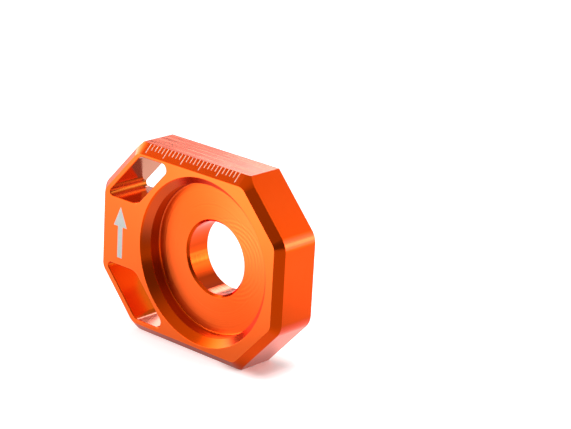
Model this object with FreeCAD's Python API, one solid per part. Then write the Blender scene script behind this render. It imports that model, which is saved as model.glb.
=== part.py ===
# Chain adjuster block for a motorcycle rear axle: one milled and anodised aluminium block.
# It slides in the slot of a swingarm. The axle passes through its bore, and the axle's washer sits in its recess.
# The frame is the part's own: millimetres, +Z up, +X along the block, +Y from the front face to the rear face.
# The origin lies on the bore axis, in the plane of the rear face, which bears on the swingarm.
import FreeCAD, Part
import math
import os

# Outline of the block, seen from the front
block_width = 51.2
block_height = 41.2
block_thickness = 10.6
bore_to_middle = 4.5
corner_cut_width = 10.6
corner_cut_height = 11.5
end_corner_radius = 4.0

# Edges of the block
side_chamfer = 1.6
top_chamfer = 2.05
bottom_chamfer = 2.0
face_corner_radius = 2.4
rear_edge_break = 0.25

# Recess for the axle washer, with its flared mouth
recess_radius = 16.1
recess_depth = 4.1
mouth_flare = 1.6
floor_corner_radius = 0.3

# Bore for the axle
axle_diameter = 15.0
bore_clearance = 0.2
bore_front_chamfer = 0.5
bore_rear_chamfer = 0.75

# Windows at the two corners of the long end
window_outer_wall = 2.6
window_recess_wall = 1.3
window_bottom_height = 7.6
windows_middle_height = 0.2
window_end_tip_radius = 0.8
window_top_corner_radius = 2.0
window_top_tip_radius = 1.3
window_bottom_corner_radius = 3.0
window_edge_break = 0.15

# Graduation engraved in the upper front chamfer
mark_pitch = 1.0
marks_per_long_mark = 5
mark_end_margin = 2.2
mark_width = 0.22
mark_depth = 0.06
long_mark_share = 0.79
short_mark_share = 0.5

# Sizes that follow from the ones above
half_height = block_height / 2
left_end = -block_width / 2 - bore_to_middle
right_end = block_width / 2 - bore_to_middle
flat_left = left_end + corner_cut_width
flat_right = right_end - corner_cut_width
end_half_height = half_height - corner_cut_height
mouth_radius = recess_radius + mouth_flare
bore_radius = axle_diameter / 2 + bore_clearance

# Length by which a cutting form runs past the metal it cuts
overshoot = 5.0


def point(x, z, depth=0.0):
    """A point of the block, with its depth counted from the front face."""
    return FreeCAD.Vector(x, depth - block_thickness, z)


def prism(outline, depth):
    return Part.Face(outline).extrude(FreeCAD.Vector(0, depth, 0))


def rounded_outline(corners, radii):
    """Closed wire through the corners, each one rounded by its own radius, or left sharp at zero."""
    starts = []
    ends = []
    middles = []
    for index, corner in enumerate(corners):
        before = (corners[index - 1] - corner).normalize()
        after = (corners[(index + 1) % len(corners)] - corner).normalize()
        half_angle = before.getAngle(after) / 2
        run = radii[index] / math.tan(half_angle)
        to_arc = radii[index] / math.sin(half_angle) - radii[index]
        starts.append(corner + before * run)
        ends.append(corner + after * run)
        middles.append(corner + (before + after).normalize() * to_arc)
    edges = []
    for index, radius in enumerate(radii):
        if radius > 0:
            edges.append(Part.Arc(starts[index], middles[index], ends[index]).toShape())
        edges.append(Part.LineSegment(ends[index], starts[(index + 1) % len(radii)]).toShape())
    return Part.Wire(edges)


def moved_in(corners, insets):
    """Corners of a clockwise polygon once each side has moved inwards by its own inset."""
    sides = []
    for index, inset in enumerate(insets):
        along = (corners[(index + 1) % len(corners)] - corners[index]).normalize()
        inwards = FreeCAD.Vector(along.z, 0, -along.x)
        sides.append((corners[index] + inwards * inset, along))
    moved = []
    for index, (start, along) in enumerate(sides):
        last_start, last_along = sides[index - 1]
        gap = start - last_start
        cross = last_along.x * along.z - last_along.z * along.x
        moved.append(last_start + last_along * ((gap.x * along.z - gap.z * along.x) / cross))
    return moved


def octagon():
    """Corners of the block's outline, clockwise from the upper left as seen from the front."""
    return [
        point(flat_left, half_height),
        point(flat_right, half_height),
        point(right_end, end_half_height),
        point(right_end, -end_half_height),
        point(flat_right, -half_height),
        point(flat_left, -half_height),
        point(left_end, -end_half_height),
        point(left_end, end_half_height),
    ]


def chamfered_block():
    """The outline carried back to the rear face, with a 45 degree chamfer all round the front face."""
    end_radii = [0, 0, end_corner_radius, end_corner_radius, 0, 0, end_corner_radius, end_corner_radius]
    body = prism(rounded_outline(octagon(), end_radii), block_thickness)
    insets = [top_chamfer] + [side_chamfer] * 3 + [bottom_chamfer] + [side_chamfer] * 3
    face_outline = rounded_outline(moved_in(octagon(), insets), [face_corner_radius] * len(insets))
    spread = max(insets) + overshoot
    wide_outline = face_outline.makeOffset2D(spread)
    wide_outline.translate(FreeCAD.Vector(0, spread, 0))
    cone_sided = Part.makeLoft([face_outline, wide_outline], True, True)
    straight_sided = prism(wide_outline, block_thickness)
    return body.common(cone_sided.fuse(straight_sided))


def with_broken_rear_edges(solid):
    for face in solid.Faces:
        if face.normalAt(0, 0).y > 0.999:
            return solid.makeChamfer(rear_edge_break, face.Edges)


def turned_cut():
    """Flared mouth, recess and bore, turned as one form about the bore axis."""
    wall_end = point(recess_radius, 0, recess_depth - floor_corner_radius)
    floor_start = point(recess_radius - floor_corner_radius, 0, recess_depth)
    arc_gap = floor_corner_radius * (1 - math.sqrt(0.5))
    arc_middle = point(recess_radius - arc_gap, 0, recess_depth - arc_gap)
    to_floor = [
        point(0, 0, -overshoot),
        point(mouth_radius + overshoot, 0, -overshoot),
        point(recess_radius, 0, mouth_flare),
        wall_end,
    ]
    from_floor = [
        floor_start,
        point(bore_radius + bore_front_chamfer, 0, recess_depth),
        point(bore_radius, 0, recess_depth + bore_front_chamfer),
        point(bore_radius, 0, block_thickness - bore_rear_chamfer),
        point(bore_radius + bore_rear_chamfer + overshoot, 0, block_thickness + overshoot),
        point(0, 0, block_thickness + overshoot),
        to_floor[0],
    ]
    edges = [Part.LineSegment(a, b).toShape() for a, b in zip(to_floor, to_floor[1:])]
    edges.append(Part.Arc(wall_end, arc_middle, floor_start).toShape())
    edges += [Part.LineSegment(a, b).toShape() for a, b in zip(from_floor, from_floor[1:])]
    return Part.Face(Part.Wire(edges)).revolve(point(0, 0), FreeCAD.Vector(0, 1, 0), 360)


def window_corners():
    """Corners of the upper window, one wall in from the outline and one wall out from the recess."""
    along = FreeCAD.Vector(corner_cut_width, 0, corner_cut_height).normalize()
    outwards = FreeCAD.Vector(-along.z, 0, along.x)
    outer_side = point(left_end, end_half_height) - outwards * window_outer_wall
    inner_side = point(0, 0) + outwards * (mouth_radius + window_recess_wall)
    top = half_height - window_outer_wall

    def at_height(start, height):
        return start + along * ((height - start.z) / along.z)

    return [
        at_height(outer_side, window_bottom_height),
        at_height(outer_side, top),
        at_height(inner_side, top),
        at_height(inner_side, window_bottom_height),
    ]


def window_cut():
    """The upper window right through the block, with its edges broken at both faces."""
    radii = [
        window_end_tip_radius,
        window_top_corner_radius,
        window_top_tip_radius,
        window_bottom_corner_radius,
    ]
    outline = rounded_outline(window_corners(), radii)
    cut = prism(outline, block_thickness)
    spread = window_edge_break + overshoot
    wide_outline = outline.makeOffset2D(spread)
    for narrow_depth, wide_depth in (
        (window_edge_break, -overshoot),
        (block_thickness - window_edge_break, block_thickness + overshoot),
    ):
        narrow_end = outline.translated(FreeCAD.Vector(0, narrow_depth, 0))
        wide_end = wide_outline.translated(FreeCAD.Vector(0, wide_depth, 0))
        cut = cut.fuse(Part.makeLoft([narrow_end, wide_end], True, True))
    return cut


def mark_cuts():
    """Grooves of the graduation, square to the upper chamfer and open at its outer edge."""
    slope_length = top_chamfer * math.sqrt(2)
    count = int((flat_right - flat_left - 2 * mark_end_margin) / mark_pitch) + 1
    cuts = []
    for index in range(count):
        share = short_mark_share if index % marks_per_long_mark else long_mark_share
        length = share * slope_length
        groove = Part.makeBox(mark_width, length + overshoot, mark_depth + overshoot)
        groove.translate(FreeCAD.Vector(-mark_width / 2, -length, -mark_depth))
        groove.rotate(FreeCAD.Vector(0, 0, 0), FreeCAD.Vector(1, 0, 0), 45)
        groove.translate(point(flat_left + mark_end_margin + index * mark_pitch, half_height, top_chamfer))
        cuts.append(groove)
    return cuts


def adjuster_block():
    upper_window = window_cut()
    lower_window = upper_window.mirror(point(0, windows_middle_height), FreeCAD.Vector(0, 0, 1))
    block = with_broken_rear_edges(chamfered_block())
    block = block.cut([turned_cut(), upper_window, lower_window])
    return block.cut(mark_cuts()).removeSplitter().Solids[0]


os.makedirs("parts", exist_ok=True)
block = adjuster_block()
block.exportStep("parts/adjuster_block.step")
print("volume", round(block.Volume, 1), "faces", len(block.Faces), "valid", block.isValid(), block.ShapeType)
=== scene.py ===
import math

import bpy
from mathutils import Matrix, Vector


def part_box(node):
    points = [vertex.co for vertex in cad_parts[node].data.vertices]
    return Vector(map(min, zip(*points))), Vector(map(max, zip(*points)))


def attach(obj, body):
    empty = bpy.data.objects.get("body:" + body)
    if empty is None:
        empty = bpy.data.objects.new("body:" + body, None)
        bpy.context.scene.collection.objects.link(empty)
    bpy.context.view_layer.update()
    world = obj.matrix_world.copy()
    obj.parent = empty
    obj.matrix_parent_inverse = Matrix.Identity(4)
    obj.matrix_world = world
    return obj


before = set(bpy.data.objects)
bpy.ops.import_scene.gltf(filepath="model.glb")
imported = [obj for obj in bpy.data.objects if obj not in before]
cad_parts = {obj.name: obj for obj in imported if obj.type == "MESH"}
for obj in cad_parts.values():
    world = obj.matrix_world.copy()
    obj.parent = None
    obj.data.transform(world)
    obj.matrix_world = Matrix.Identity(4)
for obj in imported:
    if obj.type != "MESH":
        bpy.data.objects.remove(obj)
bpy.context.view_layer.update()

# The block
# One piece of aluminium, milled on its outline, turned in its recess and bore, and then anodised orange. The
# dyed layer follows every cut, so the tool's lines still show: along the outline, and round the recess.
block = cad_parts["adjuster_block"]
block_low, block_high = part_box("adjuster_block")

# Places on the block, in the millimetres that the materials count in
MM = 1000.0
front_y = block_low.y * MM
recess_depth = 4.1
bore_radius = 7.7
corner_normal = (0.7353, 0.6778)

# Where a mask starts and where it is full, by how far a face turns to the front, the top or the short end
level_turn = (0.9, 0.98)
steep_turn = (0.3, 0.5)
guide_turn = (0.95, 0.99)
corner_turn_start = (0.76, 0.84)
corner_turn_end = (0.985, 0.998)

# The same by place: along the block, through it, up it, and out from the bore axis
corner_x = (15.0, 16.0)
painted_reflection_end_x = (-12.0, 8.0)
front_skin_y = (front_y + 0.1, front_y + 0.2)
upper_half_z = (-2.0, 2.0)
gap_to_floor = (0.1, 0.3)
bore_edge = (bore_radius + 0.05, bore_radius + 0.3)
recess_start = (12.0, 12.5)
recess_end = (17.2, 17.6)
windows_left_of = (10.8, 10.9)
windows_from_middle = (6.9, 7.0)
windows_top = (18.3, 18.6)
windows_outer_wall = (26.4, 26.6)

# Colours of the dye, and of the painted shade and highlights on some faces. Soft clouds a few millimetres
# wide make the dye uneven.
side_orange = (1.0, 0.084, 0.001, 1.0)
face_orange = (1.0, 0.138, 0.02, 1.0)
clouds_per_mm = 0.12
cloudiness = 0.3
noise_mean = 0.5
# Painted shade: the window walls are darker than the outer faces, and the upper window darker still
lower_window_shaded_orange = (0.85, 0.13, 0.003, 1.0)
upper_window_shaded_orange = (0.52, 0.11, 0.012, 1.0)
# Painted highlight: the window ledges are pale
ledge_highlight_orange = (1.0, 0.34, 0.24, 1.0)
# Painted shade: the recess wall is darker than the outer faces, and its upper half darker still
lower_wall_shaded_orange = (0.64, 0.155, 0.02, 1.0)
upper_wall_shaded_orange = (0.4, 0.115, 0.014, 1.0)
# Painted shade on the upper half of the recess mouth
upper_mouth_shaded_orange = (0.8, 0.092, 0.02, 1.0)
bore_orange = (1.0, 0.084, 0.006, 1.0)
# A paler tint on the rounded end corners, where a highlight falls: painted highlight colour
corner_highlight_orange = (1.0, 0.084, 0.022, 1.0)
# Painted reflection: the outer guide flats grow paler towards their right end
flat_reflection_orange = (1.0, 0.17, 0.1, 1.0)

# The turned floor carries a painted highlight: it is palest in two opposite sectors, and more so in the
# first of them
floor_dark_orange = (1.0, 0.11, 0.012, 1.0)
floor_highlight_orange = (1.0, 0.176, 0.032, 1.0)
fan_direction = (0.82, 0.57)
fan_both_ways = 0.72
fan_one_way = 0.28

# Gloss of the faces, and how uneven it is
side_roughness = 0.2
level_roughness = 0.29
lower_window_roughness = 0.22
upper_window_roughness = 0.12
wall_roughness = 0.25
bore_roughness = 0.11
guide_roughness = 0.16
patch_unevenness = 0.06
streak_unevenness = 0.45

# Marks of the tools. The heights are in hundredths of a millimetre.
relief_unit = 0.01 / MM
edge_softening = 0.12 / MM
lines_per_mm = 1.9
line_height = 0.5
guide_line_height = 5.0
# The milled streaks on the outer guide flats are real; their pale colour is a painted sheen
streak_sheen_orange = (1.0, 0.2, 0.09, 1.0)
sheen_streak_lines = (0.45, 0.7)
rings_per_mm = 3.0
ring_height = 2.6
arc_centre = (5.0, 1.0)
arc_start = (8.4, 9.0)
arc_end = (8.0, 9.5)
arc_waves = 7.2
arc_height = 0.75

# A plain arrow, etched in the front face, which points up to the scale
arrow_middle_x = -23.6
arrow_foot = -5.5
arrow_neck = 1.4
arrow_tip = 5.7
arrow_shaft_half = 0.7
arrow_head_half = 1.95
arrow_blur = 0.05
specks_per_mm = 6.0
etched_dark = (0.42, 0.44, 0.43, 1.0)
etched_light = (0.62, 0.63, 0.61, 1.0)
etched_roughness = 0.5
etched_metallic = 0.35
etched_height = 0.8


def new_group(name, inputs, outputs):
    """An empty shader node group, with its named sockets and its two end nodes."""
    group = bpy.data.node_groups.new(name, "ShaderNodeTree")
    for socket_name, kind, value in inputs:
        socket = group.interface.new_socket(socket_name, in_out="INPUT", socket_type="NodeSocket" + kind)
        if value is not None:
            socket.default_value = value
    for socket_name, kind in outputs:
        group.interface.new_socket(socket_name, in_out="OUTPUT", socket_type="NodeSocket" + kind)
    return group, group.nodes.new("NodeGroupInput"), group.nodes.new("NodeGroupOutput")


def put(tree, kind, links=None, **settings):
    """Adds a node, sets its properties, and fills its sockets with values or with other sockets."""
    node = tree.nodes.new(kind)
    for key, value in settings.items():
        setattr(node, key, value)
    for key, value in (links or {}).items():
        if isinstance(value, bpy.types.NodeSocket):
            tree.links.new(value, node.inputs[key])
        else:
            node.inputs[key].default_value = value
    return node


def put_group(tree, group, name, links):
    """One use of a node group, with its inputs filled from numbers or from other sockets."""
    return put(tree, "ShaderNodeGroup", links, node_tree=group, label=name)


def maths(tree, operation, first, second=0.0, third=0.0):
    """One maths step on plain numbers or sockets."""
    return put(tree, "ShaderNodeMath", {0: first, 1: second, 2: third}, operation=operation).outputs[0]


def length_of(tree, vector):
    """Length of a vector socket, as one number."""
    return put(tree, "ShaderNodeVectorMath", {0: vector}, operation="LENGTH").outputs["Value"]


def step_up(tree, value, low, high):
    """Nought below the low value and one above the high value, with a soft step between them."""
    links = {"Value": value, "From Min": low, "From Max": high, "To Min": 0.0, "To Max": 1.0}
    return put(tree, "ShaderNodeMapRange", links, interpolation_type="SMOOTHSTEP").outputs[0]


def blend_number(tree, mask, below, above):
    """The first number where the mask is nought and the second where it is one."""
    links = {"Value": mask, "From Min": 0.0, "From Max": 1.0, "To Min": below, "To Max": above}
    return put(tree, "ShaderNodeMapRange", links).outputs[0]


def blend_colour(tree, mask, below, above):
    """The first colour where the mask is nought and the second where it is one."""
    return put(tree, "ShaderNodeMix", {0: mask, 6: below, 7: above}, data_type="RGBA").outputs[2]


def all_of(tree, value, *masks):
    """A mask or a height that stays as it is where all the given masks are one, and is nought elsewhere."""
    for mask in masks:
        value = maths(tree, "MULTIPLY", value, mask)
    return value


def none_of(tree, mask):
    """One where the mask is nought."""
    return maths(tree, "SUBTRACT", 1.0, mask)


def position_in_mm(tree, coordinates):
    """The place on the piece, in the millimetres that masks and noise count in."""
    in_mm = {0: coordinates.outputs["Object"], "Scale": MM}
    return put(tree, "ShaderNodeVectorMath", in_mm, operation="SCALE").outputs[0]


def fine_grain(tree, position):
    """Specks of etched metal."""
    specks = {"Vector": position, "Scale": specks_per_mm, "Detail": 3.0}
    return put(tree, "ShaderNodeTexNoise", specks).outputs[0]


def milled_lines():
    """Long fine lines that a cutter leaves along the outline. They keep to one depth of the block."""
    inputs = [("Position", "Vector", None), ("Lines per mm", "Float", 2.0), ("Shortness", "Float", 0.03)]
    group, start, end = new_group("milled_lines", inputs, [("Height", "Float"), ("Patches", "Float")])
    across = start.outputs["Lines per mm"]
    along = maths(group, "MULTIPLY", across, start.outputs["Shortness"])
    stretch = put(group, "ShaderNodeCombineXYZ", {"X": along, "Y": across, "Z": along}).outputs[0]
    links = {0: start.outputs["Position"], 1: stretch}
    stretched = put(group, "ShaderNodeVectorMath", links, operation="MULTIPLY").outputs[0]
    fine = {"Vector": stretched, "Scale": 1.0, "Detail": 3.0, "Roughness": 0.6}
    wide = {"Vector": stretched, "Scale": 0.3, "Detail": 1.0}
    group.links.new(put(group, "ShaderNodeTexNoise", fine).outputs[0], end.inputs["Height"])
    group.links.new(put(group, "ShaderNodeTexNoise", wide).outputs[0], end.inputs["Patches"])
    return group


def turned_rings():
    """Rings that a round tool path leaves about its own centre."""
    inputs = [("Position", "Vector", None), ("Centre X", "Float", 0.0), ("Centre Z", "Float", 0.0)]
    inputs += [("Rings per mm", "Float", 2.0)]
    group, start, end = new_group("turned_rings", inputs, [("Height", "Float"), ("Radius", "Float")])
    place = put(group, "ShaderNodeSeparateXYZ", {0: start.outputs["Position"]})
    run = maths(group, "SUBTRACT", place.outputs["X"], start.outputs["Centre X"])
    rise = maths(group, "SUBTRACT", place.outputs["Z"], start.outputs["Centre Z"])
    radius = length_of(group, put(group, "ShaderNodeCombineXYZ", {"X": run, "Y": rise}).outputs[0])
    turn = maths(group, "MULTIPLY", radius, start.outputs["Rings per mm"])
    noise = {"W": turn, "Scale": 1.0, "Detail": 2.0, "Roughness": 0.6}
    rings = put(group, "ShaderNodeTexNoise", noise, noise_dimensions="1D")
    group.links.new(rings.outputs[0], end.inputs["Height"])
    group.links.new(radius, end.inputs["Radius"])
    return group


def inside_window(tree, place):
    """The walls of the two windows, by their place: left of the recess and inside the outer walls."""
    leftwards = maths(tree, "MULTIPLY", place["X"], -1.0)
    off_middle = maths(tree, "ABSOLUTE", place["Z"])
    to_corner = maths(tree, "MULTIPLY", leftwards, corner_normal[0])
    to_corner = maths(tree, "MULTIPLY_ADD", off_middle, corner_normal[1], to_corner)
    return all_of(
        tree,
        step_up(tree, leftwards, *windows_left_of),
        step_up(tree, off_middle, *windows_from_middle),
        none_of(tree, step_up(tree, off_middle, *windows_top)),
        none_of(tree, step_up(tree, to_corner, *windows_outer_wall)),
    )


def arrow_shape(tree, place):
    """The arrow's shaft and its head, as one mask over the whole front."""
    height = place["Z"]
    aside = maths(tree, "ABSOLUTE", maths(tree, "SUBTRACT", place["X"], arrow_middle_x))
    shaft = all_of(
        tree,
        none_of(tree, step_up(tree, aside, arrow_shaft_half - arrow_blur, arrow_shaft_half + arrow_blur)),
        step_up(tree, height, arrow_foot - arrow_blur, arrow_foot + arrow_blur),
        none_of(tree, step_up(tree, height, arrow_neck, arrow_neck + arrow_blur)),
    )
    slope = arrow_head_half / (arrow_tip - arrow_neck)
    beyond = maths(tree, "MULTIPLY_ADD", maths(tree, "SUBTRACT", height, arrow_tip), slope, aside)
    head = all_of(
        tree,
        none_of(tree, step_up(tree, beyond, -arrow_blur, arrow_blur)),
        step_up(tree, height, arrow_neck - arrow_blur, arrow_neck + arrow_blur),
    )
    return maths(tree, "MAXIMUM", shaft, head)


def faces_of_the_block(tree, place, facing, from_axis):
    """One mask for each kind of face, for the arrow and for the upper half: one there, nought elsewhere."""
    frontness = maths(tree, "ABSOLUTE", facing["Y"])
    level = step_up(tree, frontness, *level_turn)
    steep = none_of(tree, step_up(tree, frontness, *steep_turn))
    guide_flat = all_of(tree, step_up(tree, maths(tree, "ABSOLUTE", facing["Z"]), *guide_turn), steep)
    off_floor = maths(tree, "ABSOLUTE", maths(tree, "SUBTRACT", place["Y"], front_y + recess_depth))
    past_recess = step_up(tree, from_axis, *recess_end)
    in_recess = all_of(tree, step_up(tree, from_axis, *recess_start), none_of(tree, past_recess))
    recess_wall = all_of(tree, steep, in_recess)
    window_wall = all_of(tree, steep, none_of(tree, in_recess), inside_window(tree, place))
    outer_guide = all_of(tree, guide_flat, none_of(tree, maths(tree, "MAXIMUM", recess_wall, window_wall)))
    end_corner = all_of(
        tree,
        steep,
        step_up(tree, facing["X"], *corner_turn_start),
        none_of(tree, step_up(tree, facing["X"], *corner_turn_end)),
        step_up(tree, place["X"], *corner_x),
    )
    on_front = all_of(tree, level, none_of(tree, step_up(tree, place["Y"], *front_skin_y)))
    return {
        "level": level,
        "floor": all_of(tree, level, none_of(tree, step_up(tree, off_floor, *gap_to_floor))),
        "bore": none_of(tree, step_up(tree, from_axis, *bore_edge)),
        "recess wall": recess_wall,
        "recess mouth": all_of(tree, in_recess, none_of(tree, maths(tree, "MAXIMUM", level, steep))),
        "window wall": window_wall,
        "window ledge": all_of(tree, window_wall, guide_flat),
        "outer guide": outer_guide,
        "end corner": end_corner,
        "upper half": step_up(tree, place["Z"], *upper_half_z),
        "arrow": all_of(tree, arrow_shape(tree, place), on_front),
    }


def floor_with_painted_highlight(tree, place, from_axis):
    """The turned floor of the recess, with a painted highlight that makes it paler in two opposite sectors.
    """
    toward_fan = maths(tree, "MULTIPLY", place["X"], fan_direction[0])
    toward_fan = maths(tree, "MULTIPLY_ADD", place["Z"], fan_direction[1], toward_fan)
    toward_fan = maths(tree, "DIVIDE", toward_fan, from_axis)
    fan = maths(tree, "MULTIPLY", toward_fan, toward_fan)
    uneven = maths(tree, "MULTIPLY_ADD", toward_fan, fan_one_way, fan_both_ways)
    return blend_colour(tree, maths(tree, "MULTIPLY", fan, uneven), floor_dark_orange, floor_highlight_orange)


def dye_and_painted_light(tree, faces, place, position, from_axis, lines):
    """The colour of the dye from face to face, with painted shade and highlights on some faces, and of the
    etched arrow.
    """
    upper = faces["upper half"]
    clouds = put(tree, "ShaderNodeTexNoise", {"Vector": position, "Scale": clouds_per_mm, "Detail": 2.0})
    off_mean = maths(tree, "SUBTRACT", clouds.outputs[0], noise_mean)
    paleness = maths(tree, "MULTIPLY_ADD", off_mean, cloudiness, faces["level"])
    streaks_with_sheen = all_of(tree, faces["outer guide"], step_up(tree, lines["Height"], *sheen_streak_lines))
    painted_reflection_end = all_of(tree, faces["outer guide"], step_up(tree, place["X"], *painted_reflection_end_x))
    etched = blend_colour(tree, fine_grain(tree, position), etched_dark, etched_light)
    # Painted light among these layers: the floor's highlight fan, the corner highlight, the shade on the
    # recess wall, mouth and windows, the flats' reflection, the streaks' sheen and the ledge highlight
    layers = [
        (faces["floor"], floor_with_painted_highlight(tree, place, from_axis)),
        (faces["bore"], bore_orange),
        (faces["end corner"], corner_highlight_orange),
        (faces["recess wall"], blend_colour(tree, upper, lower_wall_shaded_orange, upper_wall_shaded_orange)),
        (all_of(tree, faces["recess mouth"], upper), upper_mouth_shaded_orange),
        (faces["window wall"], blend_colour(tree, upper, lower_window_shaded_orange, upper_window_shaded_orange)),
        (painted_reflection_end, flat_reflection_orange),
        (streaks_with_sheen, streak_sheen_orange),
        (faces["window ledge"], ledge_highlight_orange),
        (faces["arrow"], etched),
    ]
    colour = blend_colour(tree, paleness, side_orange, face_orange)
    for mask, layer in layers:
        colour = blend_colour(tree, mask, colour, layer)
    return colour


def gloss(tree, faces, lines):
    """Roughness from face to face. The milled lines make it uneven, most of all on the outer guide flats."""
    in_window = blend_number(tree, faces["upper half"], lower_window_roughness, upper_window_roughness)
    roughness = blend_number(tree, faces["level"], side_roughness, level_roughness)
    roughness = blend_number(tree, faces["window wall"], roughness, in_window)
    roughness = blend_number(tree, faces["recess wall"], roughness, wall_roughness)
    roughness = blend_number(tree, faces["bore"], roughness, bore_roughness)
    roughness = blend_number(tree, faces["outer guide"], roughness, guide_roughness)
    patches = maths(tree, "SUBTRACT", lines["Patches"], noise_mean)
    streaks = all_of(tree, maths(tree, "SUBTRACT", lines["Height"], noise_mean), faces["outer guide"])
    unevenness = maths(tree, "MULTIPLY", patches, patch_unevenness)
    unevenness = maths(tree, "MULTIPLY_ADD", streaks, streak_unevenness, unevenness)
    return blend_number(tree, faces["arrow"], maths(tree, "ADD", roughness, unevenness), etched_roughness)


def tool_marks(tree, faces, position, from_axis, lines, rings, arcs):
    """Height of the milled lines, the turned rings, the arcs beside the bore and the arrow's grain."""
    line_relief = blend_number(tree, faces["outer guide"], line_height, guide_line_height)
    off_window = none_of(tree, faces["window wall"])
    height = all_of(tree, lines["Height"], line_relief, off_window, none_of(tree, faces["level"]))
    ring_relief = maths(tree, "MULTIPLY", faces["floor"], ring_height)
    height = maths(tree, "MULTIPLY_ADD", rings["Height"], ring_relief, height)
    past_arcs = step_up(tree, arcs["Radius"], *arc_end)
    wave = maths(tree, "SINE", maths(tree, "MULTIPLY", arcs["Radius"], arc_waves))
    wave = all_of(tree, wave, none_of(tree, past_arcs), step_up(tree, from_axis, *arc_start), faces["floor"])
    height = maths(tree, "MULTIPLY_ADD", wave, arc_height, height)
    etched_relief = blend_number(tree, faces["arrow"], 0.0, etched_height)
    return maths(tree, "MULTIPLY_ADD", fine_grain(tree, position), etched_relief, height)


def anodised_orange():
    """The block's finish: dyed metal whose gloss and grain change from face to face, with painted shade and
    highlights in its colour.
    """
    material = bpy.data.materials.new("anodised_orange")
    material.use_nodes = True
    tree = material.node_tree
    shader = tree.nodes["Principled BSDF"]
    coordinates = put(tree, "ShaderNodeTexCoord")
    position = position_in_mm(tree, coordinates)
    place = put(tree, "ShaderNodeSeparateXYZ", {0: position}).outputs
    facing = put(tree, "ShaderNodeSeparateXYZ", {0: coordinates.outputs["Normal"]}).outputs

    links = {"Position": position, "Lines per mm": lines_per_mm}
    lines = put_group(tree, milled_lines(), "milled lines", links).outputs
    rings_group = turned_rings()
    links = {"Position": position, "Rings per mm": rings_per_mm}
    rings = put_group(tree, rings_group, "recess rings", links).outputs
    links = {"Position": position, "Centre X": arc_centre[0], "Centre Z": arc_centre[1]}
    arcs = put_group(tree, rings_group, "cutter arcs", links).outputs
    from_axis = rings["Radius"]
    faces = faces_of_the_block(tree, place, facing, from_axis)

    colour = dye_and_painted_light(tree, faces, place, position, from_axis, lines)
    tree.links.new(colour, shader.inputs["Base Color"])
    tree.links.new(gloss(tree, faces, lines), shader.inputs["Roughness"])
    tree.links.new(blend_number(tree, faces["arrow"], 1.0, etched_metallic), shader.inputs["Metallic"])
    height = tool_marks(tree, faces, position, from_axis, lines, rings, arcs)
    rounded = put(tree, "ShaderNodeBevel", {"Radius": edge_softening}, samples=4)
    bump = {"Strength": 1.0, "Distance": relief_unit, "Height": height, "Normal": rounded.outputs[0]}
    tree.links.new(put(tree, "ShaderNodeBump", bump).outputs[0], shader.inputs["Normal"])
    return material


finish = anodised_orange()
for slot in block.material_slots:
    slot.material = finish

# The scale
# Twenty-six lines, one every millimetre and a longer one every fifth, cut by laser in the upper front
# chamfer. The beam takes the dye away, so they show the bare pale metal at the bottom of their grooves.
mark_pitch = 0.001
marks_per_long_mark = 5
mark_count = 26
mark_width = 0.00022
groove_depth = 0.00006
mark_thickness = 0.00004
long_mark_length = 0.00229
short_mark_length = 0.00145
corner_cut_width = 0.0106
mark_end_margin = 0.0022
top_chamfer = 0.00205
first_mark_x = block_low.x + corner_cut_width + mark_end_margin
first_mark = Vector((first_mark_x, block_low.y + top_chamfer, block_high.z))
bare_metal_dark = (0.95, 0.62, 0.45, 1.0)
bare_metal_light = (1.0, 0.80, 0.66, 1.0)
bare_metal_metallic = 0.2
bare_metal_roughness = (0.45, 0.7)
bare_metal_relief = 0.3


def laser_marked_metal():
    """Bare etched aluminium: pale and matt, with a faint warm tint painted in for the orange light reflected
    from the metal around it.
    """
    material = bpy.data.materials.new("laser_marked_metal")
    material.use_nodes = True
    tree = material.node_tree
    shader = tree.nodes["Principled BSDF"]
    grain = fine_grain(tree, position_in_mm(tree, put(tree, "ShaderNodeTexCoord")))
    colour = blend_colour(tree, grain, bare_metal_dark, bare_metal_light)
    tree.links.new(colour, shader.inputs["Base Color"])
    tree.links.new(blend_number(tree, grain, *bare_metal_roughness), shader.inputs["Roughness"])
    bump = {"Strength": bare_metal_relief, "Distance": relief_unit, "Height": grain}
    tree.links.new(put(tree, "ShaderNodeBump", bump).outputs[0], shader.inputs["Normal"])
    shader.inputs["Metallic"].default_value = bare_metal_metallic
    return material


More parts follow.
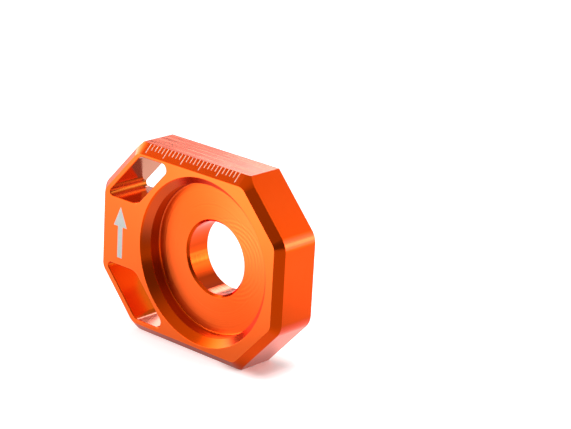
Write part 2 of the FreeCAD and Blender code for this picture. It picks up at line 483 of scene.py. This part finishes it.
def scale_tree():
    """Places the lines along the scale, with every fifth one longer. Each is one stretched cube."""
    tree = bpy.data.node_groups.new("engraved_scale", "GeometryNodeTree")
    sizes = [("Pitch", mark_pitch), ("Width", mark_width), ("Thickness", mark_thickness)]
    sizes += [("Long Mark", long_mark_length), ("Short Mark", short_mark_length)]
    for name, value in sizes:
        tree.interface.new_socket(name, in_out="INPUT", socket_type="NodeSocketFloat").default_value = value
    for name, value in [("Marks", mark_count), ("Marks per Long Mark", marks_per_long_mark)]:
        tree.interface.new_socket(name, in_out="INPUT", socket_type="NodeSocketInt").default_value = value
    tree.interface.new_socket("Metal", in_out="INPUT", socket_type="NodeSocketMaterial")
    tree.interface.new_socket("Geometry", in_out="OUTPUT", socket_type="NodeSocketGeometry")
    start = put(tree, "NodeGroupInput").outputs
    step = put(tree, "ShaderNodeCombineXYZ", {"X": start["Pitch"]})
    row = put(tree, "GeometryNodeMeshLine", {"Count": start["Marks"], "Offset": step.outputs[0]})
    index = put(tree, "GeometryNodeInputIndex").outputs[0]
    remainder = maths(tree, "MODULO", index, start["Marks per Long Mark"])
    is_short = maths(tree, "GREATER_THAN", remainder, 0.5)
    lengths = {"Switch": is_short, "False": start["Long Mark"], "True": start["Short Mark"]}
    length = put(tree, "GeometryNodeSwitch", lengths, input_type="FLOAT").outputs[0]
    size = put(tree, "ShaderNodeCombineXYZ", {"X": start["Width"], "Y": length, "Z": start["Thickness"]})
    cube = put(tree, "GeometryNodeMeshCube", {"Size": (1.0, 1.0, 1.0)})
    from_its_edge = {"Geometry": cube.outputs[0], "Translation": (0.0, -0.5, 0.5)}
    unit = put(tree, "GeometryNodeTransform", from_its_edge)
    links = {"Points": row.outputs[0], "Instance": unit.outputs[0], "Scale": size.outputs[0]}
    copies = put(tree, "GeometryNodeInstanceOnPoints", links)
    solid = put(tree, "GeometryNodeRealizeInstances", {"Geometry": copies.outputs[0]})
    finished = {"Geometry": solid.outputs[0], "Material": start["Metal"]}
    result = put(tree, "GeometryNodeSetMaterial", finished)
    tree.links.new(result.outputs[0], put(tree, "NodeGroupOutput").inputs[0])
    return tree


marked_metal = laser_marked_metal()
builder = bpy.data.objects.new("scale_builder", bpy.data.meshes.new("scale_builder"))
bpy.context.scene.collection.objects.link(builder)
modifier = builder.modifiers.new("engraved_scale", "NODES")
modifier.node_group = scale_tree()
for item in modifier.node_group.interface.items_tree:
    if item.item_type == "SOCKET" and item.in_out == "INPUT" and item.name == "Metal":
        modifier[item.identifier] = marked_metal
evaluated = builder.evaluated_get(bpy.context.evaluated_depsgraph_get())
scale_mesh = bpy.data.meshes.new_from_object(evaluated)
bpy.data.objects.remove(builder)

# The row is made flat. It turns 45 degrees about its upper edge and sinks to the floor of the grooves.
chamfer_turn = Matrix.Rotation(math.radians(45), 4, "X")
sunk = Matrix.Translation((0.0, 0.0, -groove_depth))
scale_mesh.transform(Matrix.Translation(first_mark) @ chamfer_turn @ sunk)
scale_marks = bpy.data.objects.new("scale_marks", scale_mesh)
bpy.context.scene.collection.objects.link(scale_marks)
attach(scale_marks, "root")

# The table
# A plain white card, on which the block stands on its lower flat. It shows white to the camera, with a soft
# shade by the block's right foot. In the metal it shows a painted glow, which is strongest at the front
# left.
table_half_width = 3.0
card_white = (0.8, 0.8, 0.8, 1.0)
# In the metal the card's own white is dimmed, and its painted glow gives its brightness there
card_in_the_metal = (0.12, 0.12, 0.12, 1.0)

# The camera's view of the card: lifted to white everywhere but about a small rectangle
white_lift = 0.6
shade_middle = (0.0114, -0.0034)
shade_half_size = (0.0021, 0.0029)
shade_reach = 0.006

# The metal's view of the card: a painted glow, plain and in patches, all weaker about the block's foot as
# painted shade
contact_middle = (-0.0045, -0.0044)
contact_half_size = (0.015, 0.00415)
contact_reach = 0.005
glow_in_contact_shade = 0.42
sheen_middle = (-0.0045, -0.0053)
plain_sheen = 0.12

# Each patch has a bearing from straight behind the block, a width and a soft edge, all in degrees, then the
# distance where it is nought, the distance where it is full, and its strength.
sheen_patches = [
    ("round_the_block", 0.0, 720.0, 10.0, 0.055, 0.02, 0.52),
    ("behind", -19.0, 200.0, 30.0, 0.0, 0.02, 0.41),
    ("right", 118.0, 44.0, 12.0, 0.03, 0.055, 0.26),
    ("behind_right", 44.0, 44.0, 10.0, 0.02, 0.085, 0.56),
    ("far_behind_right", 44.0, 24.0, 4.0, 0.12, 0.2, 1.6),
    ("front_left", -165.0, 56.0, 14.0, 0.0, 0.11, 2.5),
    ("front_left_glint", -146.0, 12.0, 5.0, 0.05, 0.095, 0.7),
    ("behind_left", -41.0, 40.0, 10.0, 0.03, 0.05, 0.6),
    ("near_left", -110.0, 40.0, 10.0, 0.02, 0.06, 0.9),
    ("far_left", -110.0, 50.0, 16.0, 0.1, 0.16, 1.3),
]


def within(tree, value, size, edge):
    """One inside a band of the given size about nought, with a soft edge, and nought outside it."""
    half = maths(tree, "MULTIPLY", size, 0.5)
    away = maths(tree, "ABSOLUTE", value)
    outside = step_up(tree, away, maths(tree, "SUBTRACT", half, edge), maths(tree, "ADD", half, edge))
    return none_of(tree, outside)


def bearing_from(tree, vector, middle):
    """Bearing in degrees from straight behind the block, counted from the given middle."""
    turn = maths(tree, "RADIANS", middle)
    turned = put(tree, "ShaderNodeVectorRotate", {"Vector": vector, "Angle": turn}, rotation_type="Z_AXIS")
    axes = put(tree, "ShaderNodeSeparateXYZ", {0: turned.outputs[0]})
    return maths(tree, "DEGREES", maths(tree, "ARCTAN2", axes.outputs["X"], axes.outputs["Y"]))


def sheen_patch_group():
    """A patch of painted glow on the table, by its bearing and its distance from the block."""
    inputs = [("Place", "Vector", None), ("Bearing", "Float", 0.0), ("Width", "Float", 60.0)]
    inputs += [("Edge", "Float", 10.0), ("Near", "Float", 0.05), ("Far", "Float", 0.1)]
    inputs += [("Strength", "Float", 1.0)]
    group, start, end = new_group("sheen_patch", inputs, [("Light", "Float")])
    bearing = bearing_from(group, start.outputs["Place"], start.outputs["Bearing"])
    side = within(group, bearing, start.outputs["Width"], start.outputs["Edge"])
    distance = length_of(group, start.outputs["Place"])
    out = step_up(group, distance, start.outputs["Near"], start.outputs["Far"])
    group.links.new(all_of(group, side, out, start.outputs["Strength"]), end.inputs["Light"])
    return group


def away_from(tree, axes, rectangle_middle, rectangle_half_size):
    """Distance from a rectangle on the table."""
    gaps = []
    for axis, middle, half in zip("XY", rectangle_middle, rectangle_half_size):
        off = maths(tree, "ABSOLUTE", maths(tree, "SUBTRACT", axes[axis], middle))
        gaps.append(maths(tree, "MAXIMUM", maths(tree, "SUBTRACT", off, half), 0.0))
    return length_of(tree, put(tree, "ShaderNodeCombineXYZ", {"X": gaps[0], "Y": gaps[1]}).outputs[0])


def sheen_of_the_card(tree, axes):
    """The card's painted glow in the metal, from place to place on the table, with painted shade about the
    block's foot.
    """
    aside = maths(tree, "SUBTRACT", axes["X"], sheen_middle[0])
    behind = maths(tree, "SUBTRACT", axes["Y"], sheen_middle[1])
    on_table = put(tree, "ShaderNodeCombineXYZ", {"X": aside, "Y": behind}).outputs[0]
    group = sheen_patch_group()
    sheen = plain_sheen
    for name, bearing, width, edge, near, far, strength in sheen_patches:
        links = {"Place": on_table, "Bearing": bearing, "Width": width, "Edge": edge}
        links.update({"Near": near, "Far": far, "Strength": strength})
        sheen = maths(tree, "ADD", sheen, put_group(tree, group, name, links).outputs["Light"])
    from_contact = away_from(tree, axes, contact_middle, contact_half_size)
    open_table = step_up(tree, from_contact, 0.0, contact_reach)
    return maths(tree, "MULTIPLY", sheen, blend_number(tree, open_table, glow_in_contact_shade, 1.0))


def white_card():
    """Matt card. It glows a little for the camera, and with a painted glow by place for what the metal
    reflects.
    """
    material = bpy.data.materials.new("white_card")
    material.use_nodes = True
    tree = material.node_tree
    tree.nodes.remove(tree.nodes["Principled BSDF"])
    path = put(tree, "ShaderNodeLightPath").outputs
    coordinates = put(tree, "ShaderNodeTexCoord").outputs["Object"]
    axes = put(tree, "ShaderNodeSeparateXYZ", {0: coordinates}).outputs
    glow = maths(tree, "MULTIPLY", path["Is Glossy Ray"], sheen_of_the_card(tree, axes))
    from_shade = away_from(tree, axes, shade_middle, shade_half_size)
    lift = maths(tree, "MULTIPLY", step_up(tree, from_shade, 0.0, shade_reach), white_lift)
    glow = maths(tree, "MULTIPLY_ADD", path["Is Camera Ray"], lift, glow)
    colour = blend_colour(tree, path["Is Glossy Ray"], card_white, card_in_the_metal)
    matt = put(tree, "ShaderNodeBsdfDiffuse", {"Color": colour})
    shine = put(tree, "ShaderNodeEmission", {"Color": glow, "Strength": 1.0})
    both = put(tree, "ShaderNodeAddShader", {0: matt.outputs[0], 1: shine.outputs[0]})
    tree.links.new(both.outputs[0], tree.nodes["Material Output"].inputs["Surface"])
    return material


table_mesh = bpy.data.meshes.new("table_top")
corners = [(-1, -1), (1, -1), (1, 1), (-1, 1)]
table_points = [(x * table_half_width, y * table_half_width, block_low.z) for x, y in corners]
table_mesh.from_pydata(table_points, [], [(0, 1, 2, 3)])
table_mesh.materials.append(white_card())
table_top = bpy.data.objects.new("table_top", table_mesh)
bpy.context.scene.collection.objects.link(table_top)

# The light
# Soft boxes stand to the left of the block, behind it and to its right, and a faint one hangs above. The
# camera's side is dark, and the camera itself sees a plain white backdrop in place of the boxes.
room_level = 0.12
backdrop_level = 1.0

# Each box has a bearing from straight behind the block and a height, a width and a tallness, the softness of
# its sides and that of its top and bottom, all in degrees, and then its brightness.
soft_boxes = [
    ("front_left_low", -142.0, -2.0, 50.0, 27.0, 4.0, 3.0, 4.8),
    ("front_left_high", -130.0, 23.0, 40.0, 37.0, 15.0, 17.0, 0.5),
    ("left", -98.0, 13.0, 56.0, 41.0, 4.0, 12.0, 3.8),
    ("behind_left_low", -42.0, 1.0, 12.0, 14.0, 4.0, 5.0, 0.8),
    ("behind_left_high", -39.0, 29.0, 22.0, 17.0, 5.0, 3.0, 2.8),
    ("behind", -12.0, 13.0, 56.0, 30.0, 7.0, 3.0, 3.0),
    ("behind_right", 32.5, 16.0, 26.0, 31.0, 3.0, 17.0, 2.6),
    ("behind_right_low", 38.0, 2.0, 18.0, 25.0, 3.0, 4.0, 4.8),
    ("right_high", 75.0, 32.0, 26.0, 39.0, 3.0, 12.0, 3.3),
    ("right_low", 77.0, 16.0, 30.0, 41.0, 3.0, 10.0, 3.2),
    ("above", 0.0, 79.0, 720.0, 70.0, 20.0, 22.0, 0.5),
]


def soft_box_group():
    """A soft box in the sky, by its bearing and its height over the horizon."""
    inputs = [("Direction", "Vector", None), ("Bearing", "Float", 0.0), ("Height", "Float", 0.0)]
    inputs += [("Width", "Float", 30.0), ("Tallness", "Float", 30.0), ("Side Edge", "Float", 5.0)]
    inputs += [("Top Edge", "Float", 5.0), ("Strength", "Float", 1.0)]
    group, start, end = new_group("soft_box", inputs, [("Light", "Float")])
    bearing = bearing_from(group, start.outputs["Direction"], start.outputs["Bearing"])
    side = within(group, bearing, start.outputs["Width"], start.outputs["Side Edge"])
    axes = put(group, "ShaderNodeSeparateXYZ", {0: start.outputs["Direction"]})
    height = maths(group, "DEGREES", maths(group, "ARCSINE", axes.outputs["Z"]))
    off_height = maths(group, "SUBTRACT", height, start.outputs["Height"])
    level = within(group, off_height, start.outputs["Tallness"], start.outputs["Top Edge"])
    group.links.new(all_of(group, side, level, start.outputs["Strength"]), end.inputs["Light"])
    return group


world = bpy.data.worlds.new("studio")
world.use_nodes = True
bpy.context.scene.world = world
sky = world.node_tree
direction = put(sky, "ShaderNodeTexCoord").outputs["Generated"]
soft_box = soft_box_group()
brightness = room_level
for name, bearing, height, width, tallness, side_edge, top_edge, strength in soft_boxes:
    links = {"Direction": direction, "Bearing": bearing, "Height": height, "Width": width}
    links.update({"Tallness": tallness, "Side Edge": side_edge, "Top Edge": top_edge, "Strength": strength})
    brightness = maths(sky, "ADD", brightness, put_group(sky, soft_box, name, links).outputs["Light"])
path = put(sky, "ShaderNodeLightPath").outputs
brightness = blend_number(sky, path["Is Camera Ray"], brightness, backdrop_level)
sky.links.new(brightness, sky.nodes["Background"].inputs["Color"])

# The camera
# It looks down on the front face from the right at arm's length, and it is tilted a little on its axis. The
# block stands left of and below the middle of the picture, so the camera stands aside from it and above it.
picture_width = 571.0
sensor_width = 36.0
focal_pixels = 2023.41
camera_bearing = math.radians(41.13)
camera_height = math.radians(18.48)
camera_roll = math.radians(3.25)
camera_distance = 0.4078
camera_aside = 0.01707
camera_above = 0.00979
nearest_seen = 0.01
farthest_seen = 20.0

camera_data = bpy.data.cameras.new("camera")
camera_data.sensor_width = sensor_width
camera_data.lens = focal_pixels / picture_width * sensor_width
camera_data.clip_start = nearest_seen
camera_data.clip_end = farthest_seen
camera = bpy.data.objects.new("camera", camera_data)
back = Vector((
    math.sin(camera_bearing) * math.cos(camera_height),
    -math.cos(camera_bearing) * math.cos(camera_height),
    math.sin(camera_height),
))
level_right = (-back).cross(Vector((0.0, 0.0, 1.0))).normalized()
level_up = level_right.cross(-back)
right = level_right * math.cos(camera_roll) + level_up * math.sin(camera_roll)
up = level_up * math.cos(camera_roll) - level_right * math.sin(camera_roll)
front_middle = Vector((0.0, block_low.y, 0.0))
stand = front_middle + back * camera_distance + right * camera_aside + up * camera_above
camera.matrix_world = Matrix.Translation(stand) @ Matrix((right, up, back)).transposed().to_4x4()
bpy.context.scene.collection.objects.link(camera)
bpy.context.scene.camera = camera
bpy.context.scene.view_settings.view_transform = "Standard"
